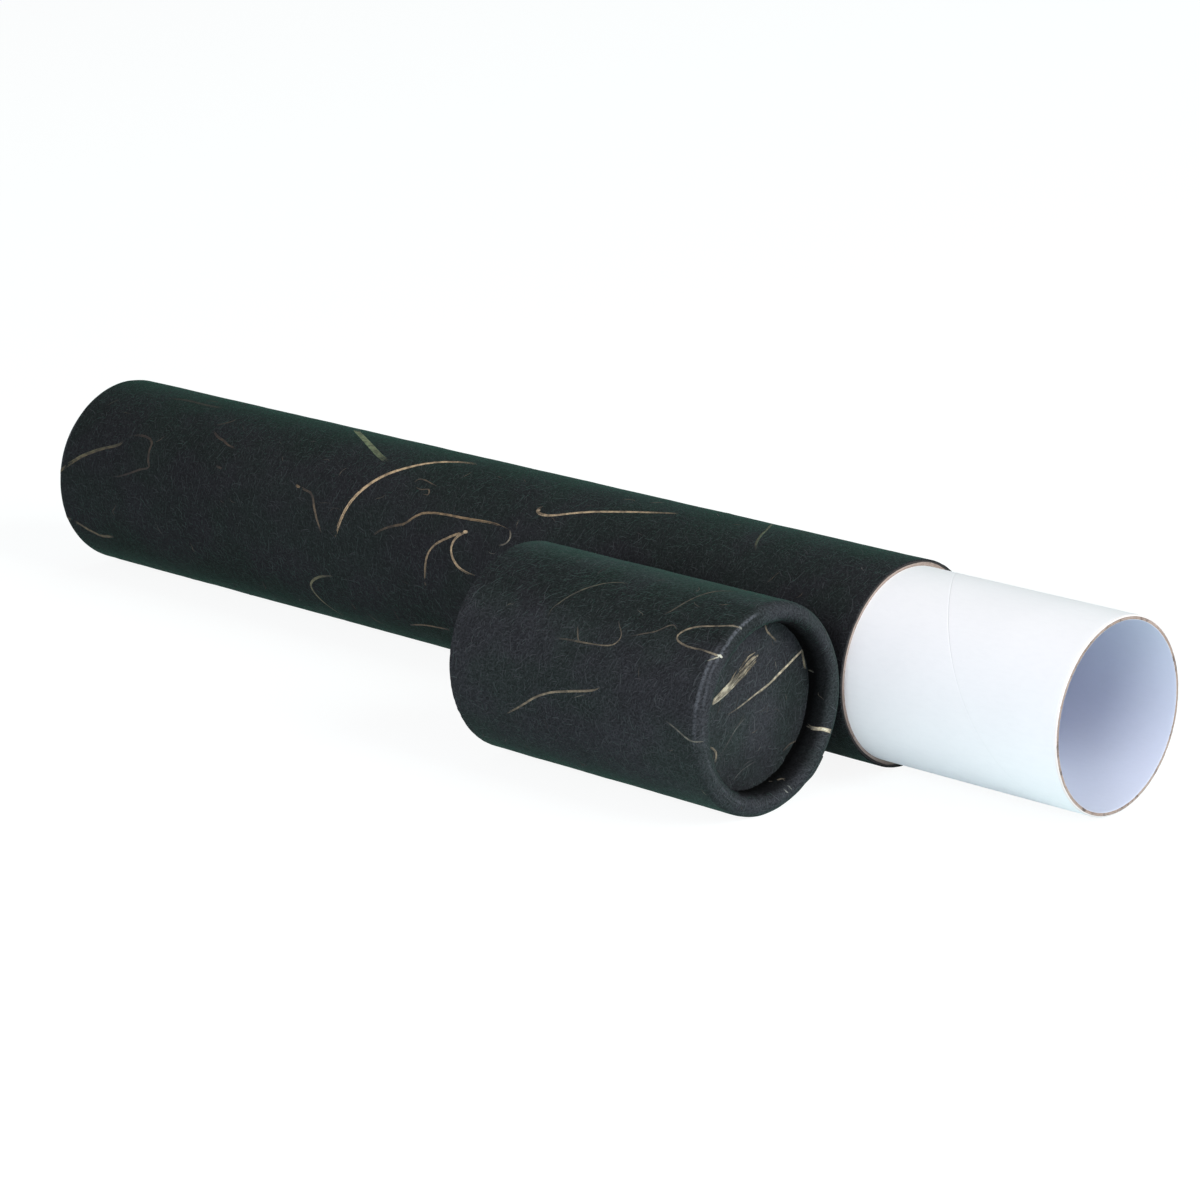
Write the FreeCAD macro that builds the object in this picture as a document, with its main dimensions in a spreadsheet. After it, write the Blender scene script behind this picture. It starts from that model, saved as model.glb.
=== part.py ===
"""Paper tube with a loose cap: a board tube covered in handmade paper, a lining tube that
stands out of it as a neck, and a cap of the same make lying beside it.

Frame: millimetres, +Z up. The tube and the cap lie on the plane Z = 0 with their axes along X
and their closed ends set back in a rolled rim. The mouth of the tube faces +X. The origin is
the middle of the ground that the two cover.
"""
import FreeCAD, Part
import math
import os

import Sketcher

doc = FreeCAD.newDocument("paper_tube")

# ---------------------------------------------------------------- driving dimensions

SIZES = {
    "bore_radius": 28.5,  # inside of the lining tube
    "liner_wall": 1.5,  # wall of the lining tube, whose outside is the neck
    "board_wall": 1.6,  # wall of the two outer board tubes
    "paper_thickness": 0.4,  # handmade covering paper
    "body_length": 357.0,  # rolled rim to mouth, without the neck
    "neck_reveal": 78.0,  # neck standing out of the mouth
    "cap_length": 100.0,  # rolled rim to the cap's open end
    "cap_clearance": 0.2,  # radial play of the cap on the neck
    "curl_radius": 3.4,  # round of the rolled rim, over the paper
    "disc_recess": 8.0,  # rim to the face of the end disc
    "disc_thickness": 2.0,
    "disc_bite": 0.4,  # how far a disc's edge beds into the tube wall
    "cap_gap": 0.3,  # daylight between the tube and the cap beside it
    "cap_lead": 1.5,  # how far the cap's rim lies ahead of the tube's mouth
}

sheet = doc.addObject("Spreadsheet::Sheet", "Sizes")
for row, (name, size) in enumerate(SIZES.items(), start=1):
    sheet.set(f"A{row}", name)
    sheet.set(f"B{row}", str(size))
    sheet.setAlias(f"B{row}", name)
doc.recompute()

# Sizes worked out from the driving ones, as expressions over the sheet.
CLEAR = "Sizes.cap_clearance"
PAPER = "Sizes.paper_thickness"
COVERED_WALL = "(Sizes.paper_thickness + Sizes.board_wall)"
CURL = "Sizes.curl_radius"
RECESS = "Sizes.disc_recess"
DISC_FRONT = f"({RECESS} + {PAPER})"
DISC_BACK = f"({DISC_FRONT} + Sizes.disc_thickness)"
NECK_RADIUS = "(Sizes.bore_radius + Sizes.liner_wall)"
BODY_RADIUS = f"({NECK_RADIUS} + {COVERED_WALL})"
CAP_RADIUS = f"({NECK_RADIUS} + {CLEAR} + {COVERED_WALL})"
OVERALL_LENGTH = "(Sizes.body_length + Sizes.neck_reveal)"

# Where the two axes lie on the ground, with the pair centred on the origin.
BODY_PLACE = (
    f"-{OVERALL_LENGTH} / 2",
    f"{CAP_RADIUS} + Sizes.cap_gap / 2",
    BODY_RADIUS,
)
CAP_PLACE = (
    f"Sizes.body_length + Sizes.cap_lead - {OVERALL_LENGTH} / 2",
    f"-{BODY_RADIUS} - Sizes.cap_gap / 2",
    CAP_RADIUS,
)
FACING_PLUS_X = FreeCAD.Rotation()
FACING_MINUS_X = FreeCAD.Rotation(FreeCAD.Vector(0, 0, 1), 180)


# ---------------------------------------------------------------- how the pieces are drawn


def origin_plane(body, role):
    """The body's own base plane with this role."""
    return next(plane for plane in body.Origin.OriginFeatures if plane.Role == role)


def new_body(name, place, turn):
    """A body whose axis runs along its own X, with the closed end of its tube at X = 0."""
    body = doc.addObject("PartDesign::Body", name)
    body.Label = name
    body.Placement = FreeCAD.Placement(FreeCAD.Vector(), turn)
    for axis, expression in zip("xyz", place):
        body.setExpression(f".Placement.Base.{axis}", expression)
    return body


def new_sketch(body, purpose, role):
    """A sketch on one of the body's base planes."""
    sketch = body.newObject("Sketcher::SketchObject", f"{body.Label}_{purpose}")
    sketch.AttachmentSupport = [(origin_plane(body, role), "")]
    sketch.MapMode = "FlatFace"
    return sketch


def bind(sketch, kind, edge, point, expression):
    """Dimension a point of the sketch from its origin, tied to an expression."""
    size = float(sketch.evalExpression(expression))
    number = sketch.addConstraint(Sketcher.Constraint(kind, -1, 1, edge, point, size))
    sketch.setExpression(f"Constraints[{number}]", expression)


def draw_section(sketch, corners):
    """Draw a closed outline of (along, out, bend) corners and dimension every one.

    bend is None for a straight edge to the next corner, or the height of the centre of the
    half circle that leads there round the closed end.
    """
    ends = []
    for here, there in zip(corners, corners[1:] + corners[:1]):
        start = FreeCAD.Vector(*[float(sketch.evalExpression(c)) for c in here[:2]])
        finish = FreeCAD.Vector(*[float(sketch.evalExpression(c)) for c in there[:2]])
        if here[2] is None:
            edge = sketch.addGeometry(Part.LineSegment(start, finish))
            ends.append((edge, 1, 2))
            continue
        centre = (start + finish) / 2
        radius = start.distanceToPoint(finish) / 2
        circle = Part.Circle(centre, FreeCAD.Vector(0, 0, 1), radius)
        edge = sketch.addGeometry(Part.ArcOfCircle(circle, math.pi / 2, 3 * math.pi / 2))
        bind(sketch, "DistanceX", edge, 3, here[2])
        ends.append((edge, 1, 2) if start.y > finish.y else (edge, 2, 1))
    for corner, leaving, arriving in zip(corners, ends, ends[-1:] + ends[:-1]):
        joint = (arriving[0], arriving[2], leaving[0], leaving[1])
        sketch.addConstraint(Sketcher.Constraint("Coincident", *joint))
        bind(sketch, "DistanceX", leaving[0], leaving[1], corner[0])
        bind(sketch, "DistanceY", leaving[0], leaving[1], corner[1])


def rolled_tube(name, place, turn, radius, length, near, deep, seat):
    """A tube whose closed end is rolled in: its wall lies near to deep under the finished face.

    The wall runs from the mouth, round the rim and back along a lip that ends on the disc.
    With a seat, the disc's edge beds into the inside of the wall.
    """
    body = new_body(name, place, turn)
    outside = f"{radius} - {near}"
    inside = f"{radius} - {deep}"
    lip_face = f"{radius} - 2 * {CURL} + {near}"
    lip_back = f"{radius} - 2 * {CURL} + {deep}"
    corners = [
        (length, outside, None),
        (CURL, outside, CURL),
        (CURL, lip_face, None),
        (RECESS, lip_face, None),
        (RECESS, lip_back, None),
        (CURL, lip_back, CURL),
        (CURL, inside, None),
    ]
    if seat:
        corners += [
            (RECESS, inside, None),
            (RECESS, f"{inside} + Sizes.disc_bite", None),
            (DISC_BACK, f"{inside} + Sizes.disc_bite", None),
            (DISC_BACK, inside, None),
        ]
    corners.append((length, inside, None))
    section = new_sketch(body, "section", "XZ_Plane")
    draw_section(section, corners)
    spin = body.newObject("PartDesign::Revolution", f"{name}_spin")
    spin.Profile = section
    spin.ReferenceAxis = (section, ["H_Axis"])
    spin.Angle = 360
    section.Visibility = False
    return body


def pad_rings(name, place, turn, radii, start, length):
    """A disc, or a plain tube if two radii are given, padded along the axis from start."""
    body = new_body(name, place, turn)
    rings = new_sketch(body, "rings", "YZ_Plane")
    rings.setExpression(".AttachmentOffset.Base.z", start)
    for radius in radii:
        size = float(rings.evalExpression(radius))
        circle = Part.Circle(FreeCAD.Vector(), FreeCAD.Vector(0, 0, 1), size)
        edge = rings.addGeometry(circle)
        rings.addConstraint(Sketcher.Constraint("Coincident", edge, 3, -1, 1))
        number = rings.addConstraint(Sketcher.Constraint("Radius", edge, size))
        rings.setExpression(f"Constraints[{number}]", radius)
    pad = body.newObject("PartDesign::Pad", f"{name}_pad")
    pad.Profile = rings
    pad.setExpression("Length", length)
    rings.Visibility = False
    return body


def end_disc(prefix, place, turn, radius):
    """The board disc behind a rolled rim, and the round of covering paper on its face."""
    edge = f"{radius} - {COVERED_WALL} + Sizes.disc_bite"
    disc = pad_rings(f"{prefix}_disc", place, turn, [edge], DISC_FRONT, "Sizes.disc_thickness")
    face = pad_rings(f"{prefix}_face_paper", place, turn, [edge], RECESS, PAPER)
    return [disc, face]


def covered_tube(prefix, place, turn, radius, length):
    """A board tube and the covering paper glued round it and rolled in with its rim."""
    board = rolled_tube(
        f"{prefix}_tube", place, turn, radius, length, PAPER, COVERED_WALL, seat=True
    )
    wrap = rolled_tube(f"{prefix}_wrap", place, turn, radius, length, "0", PAPER, seat=False)
    return [board, wrap]


# ---------------------------------------------------------------- the tube

pieces = covered_tube("body", BODY_PLACE, FACING_PLUS_X, BODY_RADIUS, "Sizes.body_length")
pieces += end_disc("base", BODY_PLACE, FACING_PLUS_X, BODY_RADIUS)

# The lining tube is glued inside from the disc to the mouth and stands out of it as the neck.
pieces.append(
    pad_rings(
        "neck_tube",
        BODY_PLACE,
        FACING_PLUS_X,
        [NECK_RADIUS, "Sizes.bore_radius"],
        DISC_BACK,
        f"{OVERALL_LENGTH} - {DISC_BACK}",
    )
)

# ---------------------------------------------------------------- the cap

pieces += covered_tube("cap", CAP_PLACE, FACING_MINUS_X, CAP_RADIUS, "Sizes.cap_length")
pieces += end_disc("cap", CAP_PLACE, FACING_MINUS_X, CAP_RADIUS)

# ---------------------------------------------------------------- check and write

doc.recompute()
for thing in doc.Objects:
    if {"Invalid", "Error"} & set(thing.State):
        raise RuntimeError(f"{thing.Label} did not build: {thing.State}")
for piece in pieces:
    if piece.Shape.isNull() or not piece.Shape.isValid() or len(piece.Shape.Solids) != 1:
        raise RuntimeError(f"{piece.Label} is not one valid solid")

os.makedirs("parts", exist_ok=True)
for piece in pieces:
    piece.Shape.exportStep(f"parts/{piece.Label}.step")
    box = piece.Shape.BoundBox
    print(
        f"{piece.Label}: {piece.Shape.Volume / 1000:.2f} cm3,"
        f" X {box.XMin:.2f} to {box.XMax:.2f}, Y {box.YMin:.2f} to {box.YMax:.2f},"
        f" Z {box.ZMin:.2f} to {box.ZMax:.2f}"
    )
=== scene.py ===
import math
import random
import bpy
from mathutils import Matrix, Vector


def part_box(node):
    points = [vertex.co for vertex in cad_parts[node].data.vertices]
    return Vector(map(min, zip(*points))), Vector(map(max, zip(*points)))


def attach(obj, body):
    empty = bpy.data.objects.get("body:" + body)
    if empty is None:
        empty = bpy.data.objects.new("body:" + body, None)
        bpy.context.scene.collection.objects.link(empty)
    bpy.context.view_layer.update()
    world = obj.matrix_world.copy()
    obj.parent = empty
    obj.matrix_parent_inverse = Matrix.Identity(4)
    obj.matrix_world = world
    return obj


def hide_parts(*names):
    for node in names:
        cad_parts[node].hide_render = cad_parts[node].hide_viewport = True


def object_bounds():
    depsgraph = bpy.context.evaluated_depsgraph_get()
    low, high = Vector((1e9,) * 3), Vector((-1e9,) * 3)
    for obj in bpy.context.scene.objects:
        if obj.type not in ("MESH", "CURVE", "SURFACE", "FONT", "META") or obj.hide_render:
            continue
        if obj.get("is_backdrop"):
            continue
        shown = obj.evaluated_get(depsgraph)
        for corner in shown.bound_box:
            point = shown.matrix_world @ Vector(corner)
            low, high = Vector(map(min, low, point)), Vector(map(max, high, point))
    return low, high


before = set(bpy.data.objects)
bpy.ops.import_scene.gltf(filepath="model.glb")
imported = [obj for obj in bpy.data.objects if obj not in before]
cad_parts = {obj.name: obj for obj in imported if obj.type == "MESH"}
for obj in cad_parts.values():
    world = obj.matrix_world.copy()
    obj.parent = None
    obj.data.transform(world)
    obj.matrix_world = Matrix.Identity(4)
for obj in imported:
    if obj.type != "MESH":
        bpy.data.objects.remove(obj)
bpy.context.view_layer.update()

from types import SimpleNamespace

import bmesh
import bpy
from mathutils import Euler, Vector, noise

# ---------------------------------------------------------------- board tubes and end discs
# The two outer tubes are wound from brown kraft board, ply glued on ply. The plies show on the
# cut edges, whose outer plies are stained by the glue and dye of the covering paper. The joint
# of the innermost ply runs as a helix inside the cap. A punched disc closes each rolled end.

MM = 0.001  # the frame is in metres
BOARD_BROWN = (0.25, 0.19, 0.16, 1)
BOARD_PALE = (0.46, 0.375, 0.335, 1)
SPECK_BROWN = (0.1, 0.06, 0.04, 1)
JOINT_BROWN = (0.13, 0.085, 0.06, 1)
STAINED = (0.035, 0.032, 0.031, 1)
STAIN_DEPTH = 0.7 * MM
BOARD_RELIEF = 0.12 * MM
PLIES_PER_METRE = 3200.0
TURNS_PER_METRE = 8.2  # of a ply's joint
JOINT_WIDTH = 0.0035  # in turns
HIDDEN_JOINT = 0.0001
BOARD_JOINT_START = 0.2  # in turns, at the middle of the frame


def feed(tree, made, sockets):
    """Set a node's input sockets, or link those that are given another node's output."""
    for socket, value in sockets.items():
        if isinstance(value, bpy.types.NodeSocket):
            tree.links.new(value, made.inputs[socket])
        else:
            made.inputs[socket].default_value = value
    return made


def add(tree, kind, sockets=None, **settings):
    """A node with its settings made and its input sockets fed."""
    made = tree.nodes.new(kind)
    for name, value in settings.items():
        setattr(made, name, value)
    return feed(tree, made, sockets or {})


def maths(tree, operation, *values, clamp=False):
    """The output of a Math node over numbers or other nodes' outputs."""
    sockets = dict(enumerate(values))
    return add(tree, "ShaderNodeMath", sockets, operation=operation, use_clamp=clamp).outputs[0]


def times(tree, first, second):
    """One value times another."""
    return maths(tree, "MULTIPLY", first, second)


def plus(tree, first, second):
    """One value and another."""
    return maths(tree, "ADD", first, second)


def minus(tree, first, second):
    """One value less another."""
    return maths(tree, "SUBTRACT", first, second)


def weighed(tree, *parts):
    """The sum of values, each times its weight."""
    total = 0.0
    for value, weight in parts:
        total = maths(tree, "MULTIPLY_ADD", value, weight, total)
    return total


def span(tree, value, low, high, to_low=0.0, to_high=1.0):
    """value brought smoothly from low..high to to_low..to_high, and held beyond."""
    names = ("Value", "From Min", "From Max", "To Min", "To Max")
    sockets = dict(zip(names, (value, low, high, to_low, to_high)))
    made = add(tree, "ShaderNodeMapRange", sockets, interpolation_type="SMOOTHSTEP")
    return made.outputs["Result"]


def blend(tree, share, first, second):
    """The colour between two colours."""
    sockets = {0: share, 6: first, 7: second}
    return add(tree, "ShaderNodeMix", sockets, data_type="RGBA").outputs[2]


def grain(tree, place, scale, detail=2.0, rough=0.5):
    """Plain noise over a place, about 0 to 1."""
    sockets = {"Vector": place, "Scale": scale, "Detail": detail, "Roughness": rough}
    return add(tree, "ShaderNodeTexNoise", sockets).outputs["Fac"]


def parts_of(tree, place):
    """The X, Y and Z of a place."""
    return add(tree, "ShaderNodeSeparateXYZ", {0: place}).outputs


def length_of(tree, place):
    """How far a place lies from zero."""
    return add(tree, "ShaderNodeVectorMath", {0: place}, operation="LENGTH").outputs["Value"]


def stretched(tree, place, scale):
    """A place scaled differently each way, so that a pattern on it is drawn out."""
    return add(tree, "ShaderNodeMapping", {"Vector": place, "Scale": scale}).outputs["Vector"]


def new_group(name, takes, gives):
    """A shader node group, the outputs of its input node, and its output node."""
    tree = bpy.data.node_groups.new(name, "ShaderNodeTree")
    for side, sockets in (("INPUT", takes), ("OUTPUT", gives)):
        for socket, kind in sockets.items():
            tree.interface.new_socket(socket, in_out=side, socket_type=f"NodeSocket{kind}")
    taken = tree.nodes.new("NodeGroupInput")
    return tree, taken.outputs, tree.nodes.new("NodeGroupOutput")


def placed(tree, group, sockets):
    """A node group placed in a tree, and its outputs."""
    return add(tree, "ShaderNodeGroup", sockets, node_tree=group).outputs


def new_material(name, **shader):
    """A material with its tree and its Principled shader, whose plain sockets are set."""
    made = bpy.data.materials.new(name)
    made.use_nodes = True
    tree = made.node_tree
    principled = next(n for n in tree.nodes if n.type == "BSDF_PRINCIPLED")
    for socket, value in shader.items():
        principled.inputs[socket.replace("_", " ")].default_value = value
    return made, tree, principled


def dress(tree, principled, look, depth):
    """A look's colour, roughness and relief into the shader, the relief that many metres deep."""
    relief = {"Strength": 1.0, "Distance": depth, "Height": look["Height"]}
    sockets = {
        "Base Color": look["Color"],
        "Roughness": look["Roughness"],
        "Normal": add(tree, "ShaderNodeBump", relief).outputs["Normal"],
    }
    feed(tree, principled, sockets)


def about_axis(tree, tube_box):
    """Object coordinates counted from the axis of a tube that lies along X."""
    low, high = tube_box
    middle = (low + high) / 2
    place = add(tree, "ShaderNodeTexCoord").outputs["Object"]
    sockets = {"Vector": place, "Location": (0, -middle.y, -middle.z)}
    return add(tree, "ShaderNodeMapping", sockets).outputs["Vector"]


LOOK = {"Color": "Color", "Roughness": "Float", "Height": "Float"}

# The joint of a spirally wound ply: a narrow mask along a helix about the X axis.
tree, taken, given = new_group(
    "spiral_joint",
    {"Place": "Vector", "Turns per metre": "Float", "Start": "Float", "Width": "Float"},
    {"Joint": "Float"},
)
spiral_joint = tree
at = parts_of(tree, taken["Place"])
turned = maths(tree, "DIVIDE", maths(tree, "ARCTAN2", at["Y"], at["Z"]), math.tau)
wound = times(tree, at["X"], taken["Turns per metre"])
wound = plus(tree, wound, turned)
wound = plus(tree, wound, taken["Start"])
near = maths(tree, "DIVIDE", maths(tree, "PINGPONG", wound, 0.5), taken["Width"])
feed(tree, given, {"Joint": span(tree, near, 0.0, 1.0, 1.0, 0.0)})

# Cut and rolled kraft board: plies by distance from the axis, fibres and small dark specks.
tree, taken, given = new_group(
    "wound_board",
    {
        "Place": "Vector",
        "Brown": "Color",
        "Pale": "Color",
        "Joint": "Float",
        "Stained beyond": "Float",
    },
    LOOK,
)
wound_board = tree
at = parts_of(tree, taken["Place"])
off_axis = add(tree, "ShaderNodeCombineXYZ", {"Y": at["Y"], "Z": at["Z"]}).outputs[0]
radius = length_of(tree, off_axis)
ply_place = {
    "X": times(tree, radius, PLIES_PER_METRE),
    "Y": times(tree, at["Y"], 90.0),
    "Z": times(tree, at["Z"], 90.0),
}
plies = grain(tree, add(tree, "ShaderNodeCombineXYZ", ply_place).outputs[0], 1.0, 1.0)
streaks = grain(tree, stretched(tree, taken["Place"], (160, 900, 900)), 1.0, 3.0, 0.6)
clouds = grain(tree, taken["Place"], 70.0, 3.0)
specks = span(tree, grain(tree, taken["Place"], 1500.0, 1.0), 0.66, 0.76)
tone = weighed(tree, (plies, 0.5), (streaks, 0.35), (clouds, 0.3))
colour = blend(tree, span(tree, tone, 0.32, 0.82), taken["Brown"], taken["Pale"])
colour = blend(tree, times(tree, specks, 0.5), colour, SPECK_BROWN)
colour = blend(tree, times(tree, taken["Joint"], 0.55), colour, JOINT_BROWN)
ragged = times(tree, minus(tree, clouds, 0.5), 1.2 * MM)
beyond = minus(tree, radius, taken["Stained beyond"])
beyond = plus(tree, beyond, ragged)
look = {
    "Color": blend(tree, span(tree, beyond, -0.1 * MM, 0.12 * MM), colour, STAINED),
    "Roughness": span(tree, streaks, 0.3, 0.7, 0.78, 0.94),
    "Height": weighed(tree, (plies, 0.6), (streaks, 1.0), (taken["Joint"], -1.0)),
}
feed(tree, given, look)


def joint_mask(tree, place, start, width):
    """Where a tube's innermost or outermost ply is joined, its width in turns."""
    sockets = {"Place": place, "Turns per metre": TURNS_PER_METRE, "Start": start, "Width": width}
    return placed(tree, spiral_joint, sockets)["Joint"]


for node, tube_node, joint_width in (
    ("body_tube", "body_tube", JOINT_WIDTH),
    ("base_disc", "body_tube", HIDDEN_JOINT),
    ("cap_tube", "cap_tube", JOINT_WIDTH),
    ("cap_disc", "cap_tube", HIDDEN_JOINT),
):
    board, tree, principled = new_material(f"{node}_board", Specular_IOR_Level=0.25)
    place = about_axis(tree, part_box(tube_node))
    board_low, board_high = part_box(node)
    board_sockets = {
        "Place": place,
        "Brown": BOARD_BROWN,
        "Pale": BOARD_PALE,
        "Joint": joint_mask(tree, place, BOARD_JOINT_START, joint_width),
        "Stained beyond": (board_high.z - board_low.z) / 2 - STAIN_DEPTH,
    }
    dress(tree, principled, placed(tree, wound_board, board_sockets), BOARD_RELIEF)
    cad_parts[node].data.materials.clear()
    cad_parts[node].data.materials.append(board)

# ---------------------------------------------------------------- lining tube
# A spirally wound tube of brown board, faced inside and out with smooth white paper. It is
# glued into the covered tube and stands out of it as the neck. Its mouth was sawn, so the cut
# is brown, ragged and scorched in places.

NECK_WALL = 1.5 * MM
NECK_STEPS = 320
NECK_ROWS = 14  # along the part that stands out
LAST_ROW = 1.2 * MM  # back from the cut
HIDDEN_ROWS = (120 * MM, 240 * MM)  # from the inner end
NECK_EASE = 0.48 * MM  # how far the mouth's outer corner is broken, under its white paper
BORE_EASE = 0.1 * MM
NECK_SAG = 0.10 * MM  # how far the wall strays from round
TORN_END = 0.6 * MM  # how far back from the cut the saw has torn
TORN_DEPTH = 0.14 * MM
CORNER_RUBBED_AND_SHADED = (0.65 * MM, 0.3 * MM)  # back from the cut, where the brownish tint of the eased outer corner starts and is full: rubbed wear, and painted shade over the lit bevel
NECK_JOINT_START = 0.7215
NECK_JOINT_WIDTH = 0.003
FACING_RELIEF = 0.05 * MM
CUT_RELIEF = 0.3 * MM
NECK_WHITE = (0.92, 0.925, 0.955, 1)
# The bore is faced with the same white paper; its darker, bluer white is painted shade inside the tube.
BORE_WHITE_SHADED = (0.68, 0.715, 0.845, 1)
DULL_WHITE = (0.42, 0.45, 0.50, 1)
CORNER_BROWN = (0.62, 0.52, 0.48, 1)
CUT_BROWN = (0.25, 0.18, 0.15, 1)
CUT_PALE = (0.47, 0.37, 0.33, 1)
SCORCHED = (0.035, 0.028, 0.03, 1)

neck_low, neck_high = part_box("neck_tube")
neck_axis = (neck_low + neck_high) / 2
neck_radius = (neck_high.z - neck_low.z) / 2
mid_wall = neck_radius - NECK_WALL / 2
body_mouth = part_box("body_wrap")[1].x


def new_piece(bm, name, materials, crease=math.radians(35)):
    """The finished piece of a bmesh, smooth but for its sharp edges, riding on the tube."""
    for face in bm.faces:
        face.smooth = True
    for edge in bm.edges:
        edge.smooth = edge.calc_face_angle(0) < crease
    mesh = bpy.data.meshes.new(name)
    bm.to_mesh(mesh)
    bm.free()
    piece = bpy.data.objects.new(name, mesh)
    bpy.context.scene.collection.objects.link(piece)
    for material in materials:
        mesh.materials.append(material)
    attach(piece, "root")
    return piece


bm = bmesh.new()
section = [
    bm.verts.new((x, neck_axis.y, neck_axis.z + r))
    for x, r in (
        (neck_low.x, neck_radius),
        (neck_high.x, neck_radius),
        (neck_high.x, neck_radius - NECK_WALL),
        (neck_low.x, neck_radius - NECK_WALL),
    )
]
lines = [bm.edges.new(pair) for pair in zip(section, section[1:] + section[:1])]
bmesh.ops.spin(
    bm, geom=section + lines, cent=neck_axis, axis=(1, 0, 0), angle=math.tau,
    steps=NECK_STEPS, use_merge=True,
)
bmesh.ops.recalc_face_normals(bm, faces=bm.faces)
rows = [body_mouth + (neck_high.x - body_mouth) * k / NECK_ROWS for k in range(NECK_ROWS)]
rows += [neck_high.x - LAST_ROW, *(neck_low.x + along for along in HIDDEN_ROWS)]
for x in rows:
    bmesh.ops.bisect_plane(
        bm, geom=bm.verts[:] + bm.edges[:] + bm.faces[:], plane_co=(x, 0, 0), plane_no=(1, 0, 0)
    )
for outer, ease_by in ((True, NECK_EASE), (False, BORE_EASE)):
    edges = [
        e for e in bm.edges
        if all(abs(v.co.x - neck_high.x) < 1e-6 for v in e.verts)
        and abs(e.calc_face_angle(0)) > 1
        and ((e.verts[0].co - neck_axis).yz.length > mid_wall) == outer
    ]
    bmesh.ops.bevel(
        bm, geom=edges, offset=ease_by, segments=3, profile=0.5, affect="EDGES", material=-1
    )
for vert in bm.verts:
    out = Vector((0, vert.co.y - neck_axis.y, vert.co.z - neck_axis.z))
    sag = NECK_SAG * noise.noise(Vector((vert.co.x * 22, out.y * 30, out.z * 30)))
    vert.co += out.normalized() * sag
    if vert.co.x > neck_high.x - TORN_END:
        ragged = noise.noise(out * 700) + 0.6 * noise.noise(out * 1900)
        vert.co.x += TORN_DEPTH * min(ragged, 0)
OUTSIDE, BORE, CUT = range(3)
for face in bm.faces:
    outer = (face.calc_center_median() - neck_axis).yz.length > mid_wall
    if abs(face.normal.x) > 0.98:
        face.material_index = CUT
    else:
        face.material_index = OUTSIDE if outer else BORE

white_faces = []
for name, white, joint_dark, corner_rub_and_shade in (
    ("neck_white", NECK_WHITE, 0.05, 0.5),
    ("bore_white", BORE_WHITE_SHADED, 0.07, 0.0),
):
    faced, tree, principled = new_material(name, Specular_IOR_Level=0.3)
    place = about_axis(tree, (neck_low, neck_high))
    joint = joint_mask(tree, place, NECK_JOINT_START, NECK_JOINT_WIDTH)
    tooth = grain(tree, place, 1800.0, 2.0)
    clouds = grain(tree, place, 45.0, 3.0)
    formation = grain(tree, stretched(tree, place, (300, 900, 900)), 1.0, 3.0)
    dull = weighed(
        tree,
        (span(tree, clouds, 0.35, 0.7), 0.0315),
        (span(tree, formation, 0.4, 0.7), 0.0225),
        (joint, joint_dark),
    )
    colour = blend(tree, dull, white, DULL_WHITE)
    along = parts_of(tree, place)["X"]
    # The eased outer corner is tinted brownish: rubbed wear, and painted shade that keeps its bevel
    # from showing bright.
    corner_span = [neck_high.x - back for back in CORNER_RUBBED_AND_SHADED]
    corner = span(tree, along, *corner_span, 0.0, corner_rub_and_shade)
    look = {
        "Color": blend(tree, corner, colour, CORNER_BROWN),
        "Roughness": span(tree, formation, 0.3, 0.7, 0.55, 0.72),
        "Height": weighed(tree, (tooth, 0.3), (joint, -1.0), (formation, 0.3)),
    }
    dress(tree, principled, look, FACING_RELIEF)
    white_faces.append(faced)

cut_edge, tree, principled = new_material("sawn_edge", Specular_IOR_Level=0.2)
place = about_axis(tree, (neck_low, neck_high))
board_sockets = {
    "Place": place,
    "Brown": CUT_BROWN,
    "Pale": CUT_PALE,
    "Joint": 0.0,
    "Stained beyond": 1.0,
}
cut_board = placed(tree, wound_board, board_sockets)
scorch = span(tree, grain(tree, place, 170.0, 4.0, 0.7), 0.52, 0.66)
scorch = times(tree, scorch, 0.8)
look = {
    "Color": blend(tree, scorch, cut_board["Color"], SCORCHED),
    "Roughness": cut_board["Roughness"],
    "Height": cut_board["Height"],
}
dress(tree, principled, look, CUT_RELIEF)

neck = new_piece(bm, "neck", [*white_faces, cut_edge])
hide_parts("neck_tube")

# ---------------------------------------------------------------- covering paper
# Charcoal handmade paper, felted from short fibres. A flat sheet is glued round each board
# tube with its edge lapped on itself, cut flush at the open end, and rolled in with the
# board at the closed end, where it creases and gathers.

PAPER = 0.4  # thickness, mm
CURL = 3.4  # radius of the rolled rim over the paper, mm
LAP = 6.0  # how far the sheet's edge laps on itself, mm
HALF_ROUND = math.pi * CURL
CREASE_OUTER = 1.4  # mm round the curl from where the wall ends
CREASE_INNER = (3.0, 5.8)  # the second crease strays from one place to the other
CREASE_STRAYS = (28, 80)  # between these places round the sheet, mm
CREASE_HIGH = 0.16  # mm
CREASE_WIDE = 0.5  # mm
UNEVEN = ((0.11, 15), (0.055, 4.2))  # how high the felt is uneven, and over what length, mm
FOLD_HIGH = 0.5  # of the gathers inside the rim, mm
FOLD_SUNK = 0.16  # how far the paper between them is drawn in, mm
LIP_BEGINS = 3.2  # where the glued lip begins, mm past the rim's crest; from there the paper is a copy without sheen, so the shade painted inside the rim stays dark
LAP_CLIMB = 5  # over how much of the sheet it climbs on its own edge, mm
GLUE = 0.04  # thickness, mm
GRAIN_TURN = 0.85  # of the pulp's fibres on the sheets, radians from their length
PAPER_RELIEF = 0.16 * MM
PAPER_CHARCOAL = (0.0158, 0.0165, 0.0192, 1)
PAPER_GREENISH = (0.0132, 0.0172, 0.0170, 1)
HAIR_GREY = (0.052, 0.053, 0.060, 1)
# Lighter grey of the rubbed creases and of the painted highlight toward the rim's crest.
WORN_AND_HIGHLIGHT_GREY = (0.125, 0.135, 0.155, 1)
SHEEN_GREEN = (0.27, 1.0, 0.70, 1)


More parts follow.
